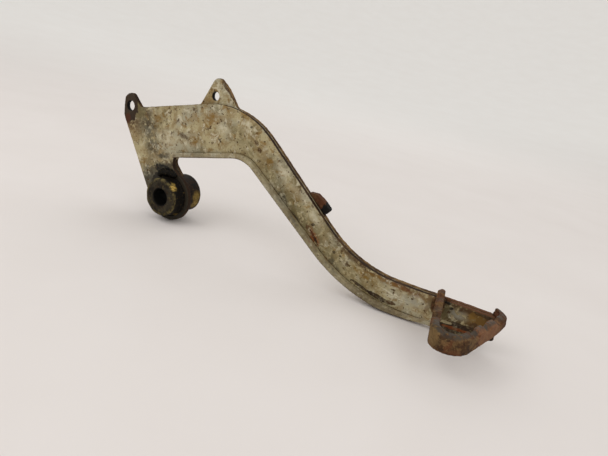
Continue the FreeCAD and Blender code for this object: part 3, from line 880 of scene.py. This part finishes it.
def arc_path(centre, radius, height, axis, first, last, count):
    """Points on an arc in degrees, about the y axis at a given y or about the z axis at a given z."""
    points = []
    for i in range(count):
        angle = math.radians(first + (last - first) * i / (count - 1))
        u, v = centre[0] + radius * math.cos(angle), centre[1] + radius * math.sin(angle)
        points.append(Vector((u, height, v)) if axis == "y" else Vector((u, v, height)))
    return points


def beads(name, runs):
    """A piece made of several beads, each with its path and radius."""
    shape = bmesh.new()
    for seed, (path, radius) in enumerate(runs):
        bead_mesh(shape, path, radius, 1.7 * seed + 0.4)
    bmesh.ops.recalc_face_normals(shape, faces=shape.faces)
    mesh = bpy.data.meshes.new(name)
    shape.to_mesh(mesh)
    shape.free()
    mesh.shade_smooth()
    return link(bpy.data.objects.new(name, mesh))


def floor_bowl():
    """A wide bowl: its flat bottom carries the part, and its rim climbs out of sight without an edge."""
    profile = [(floor_flat * i / floor_flat_rings, 0.0) for i in range(1, floor_flat_rings + 1)]
    for i in range(1, floor_rings + 1):
        angle = math.radians(floor_climb) * i / floor_rings
        profile.append((floor_flat + floor_bend * math.sin(angle), floor_bend * (1 - math.cos(angle))))
    shape = bmesh.new()
    centre_point = shape.verts.new((0, 0, 0))
    inner = None
    for radius, height in profile:
        ring = []
        for k in range(floor_sides):
            angle = 2 * math.pi * k / floor_sides
            ring.append(shape.verts.new((radius * math.cos(angle), radius * math.sin(angle), height)))
        for k in range(floor_sides):
            if inner:
                shape.faces.new((inner[k - 1], ring[k - 1], ring[k], inner[k]))
            else:
                shape.faces.new((centre_point, ring[k - 1], ring[k]))
        inner = ring
    mesh = bpy.data.meshes.new("floor")
    shape.to_mesh(mesh)
    shape.free()
    mesh.shade_smooth()
    return link(bpy.data.objects.new("floor", mesh))


def make_floor_card(away):
    """Pale card made paler with the distance, in the direction that leads away from the camera: painted
    light on the far floor and its rising rim.
    """
    card = Finish("pale_floor")
    near = card.mix(card.cloud(90, 51), *FLOOR_NEAR)
    far = card.mix(card.cloud(90, 53), *FLOOR_FAR)
    depth = card.dot(card.place, (away.x, away.y, 0.0))
    colour = card.mix(card.rise(depth, floor_painted_light_from, floor_painted_light_full), near, far)
    return card.done(colour, 0.85, card.bump(card.cloud(2, 52), 0.1, 0.1))


def soft_light(name, place, aim, size, power):
    """A square light that points at aim."""
    lamp = bpy.data.lights.new(name, "AREA")
    lamp.size = size
    lamp.energy = power
    holder = link(bpy.data.objects.new(name, lamp))
    holder.location = place
    holder.rotation_euler = (Vector(aim) - Vector(place)).to_track_quat("-Z", "Y").to_euler()


# The pieces
plate = remeshed("arm_plate", "plate_skin", sheet_voxel, sheet_rounds)
worn_in(plate, plate_wear)
dress(plate, make_worn_paint("worn_paint_plate", False), "arm_plate")
stiffener = remeshed("arm_stiffener", "stiffener_skin", sheet_voxel, sheet_rounds)
worn_in(stiffener, sheet_wear)
dress(stiffener, make_worn_paint("worn_paint_stiffener", True), "arm_stiffener")

grease = make_greasy_steel()
boss = remeshed("pivot_boss", "boss_skin", boss_voxel, boss_rounds)
worn_in(boss, boss_wear)
dress(boss, grease, "pivot_boss")
heavy_reach = boss_radius + heavy_bead_out
heavy_y = plate_front - heavy_bead_front
heavy_bead = arc_path((0, 0), heavy_reach, heavy_y, "y", *heavy_bead_arc, heavy_bead_points)
boss_bead = beads("boss_bead", [(heavy_bead, heavy_bead_radius)])
dress(boss_bead, grease)

stop = remeshed("stop_block", "stop_skin", stop_voxel, stop_rounds)
worn_in(stop, stop_wear)
store(stop, "worn", no_rub)
dress(stop, make_rusty_steel("rusty_steel", 1.0, stop_end_shade), "stop_block")

rust = make_rusty_steel("worn_steel", 0.15, tread_spots)
tread = remeshed("foot_tread", "tread_skin", tread_voxel, tread_rounds)
store(tread, "worn", tread_rub)
worn_in(tread, tread_wear)
dress(tread, rust, "foot_tread")
bead_y = plate_front - upright_bead_front
tread_runs = []
for start, end, radius in upright_beads:
    path = run_path((start[0], bead_y, start[1]), (end[0], bead_y, end[1]), bead_points)
    tread_runs.append((path, radius))
edge_start = (edge_bead_x[0], plate_front + edge_bead_depth[0], edge_bead_height)
edge_end = (edge_bead_x[1], plate_front + edge_bead_depth[1], edge_bead_height)
tread_runs.append((run_path(edge_start, edge_end, edge_bead_points), edge_bead_radius))
curl_place = (curl_bead_centre, curl_bead_reach, curl_bead_height)
curl_bead = arc_path(*curl_place, "z", *curl_bead_arc, bead_points)
tread_runs.append((curl_bead, curl_bead_radius))
tread_beads = beads("tread_beads", tread_runs)
store(tread_beads, "worn", no_rub)
dress(tread_beads, rust)

# Floor, light and camera
middle = (Vector(cad_box[0]) + Vector(cad_box[1])) / 2
floor = floor_bowl()
floor.location = (middle.x, middle.y, cad_box[0][2] - floor_gap * MM)
away = Vector((middle.x, middle.y)) - Vector(camera_place[:2]) * MM
floor.data.materials.append(make_floor_card(away.normalized()))

world = bpy.data.worlds.new("soft_room")
bpy.context.scene.world = world
world.use_nodes = True
room = world.node_tree.nodes["Background"]
room.inputs["Color"].default_value = ROOM_LIGHT
room.inputs["Strength"].default_value = room_strength
for name, place, size, power in soft_lights:
    soft_light(name, place, middle, size, power)

camera_data = bpy.data.cameras.new("camera")
camera_data.sensor_width = sensor_width
camera_data.lens = focal_pixels * sensor_width / frame_width_pixels
camera_data.clip_start = camera_clip
camera = link(bpy.data.objects.new("camera", camera_data))
right = Vector(camera_right).normalized()
up = Vector(camera_up)
up = (up - right * up.dot(right)).normalized()
turn = Matrix((right, up, right.cross(up))).transposed()
camera.matrix_world = Matrix.Translation(Vector(camera_place) * MM) @ turn.to_4x4()
bpy.context.scene.camera = camera
bpy.context.scene.view_settings.view_transform = "Standard"
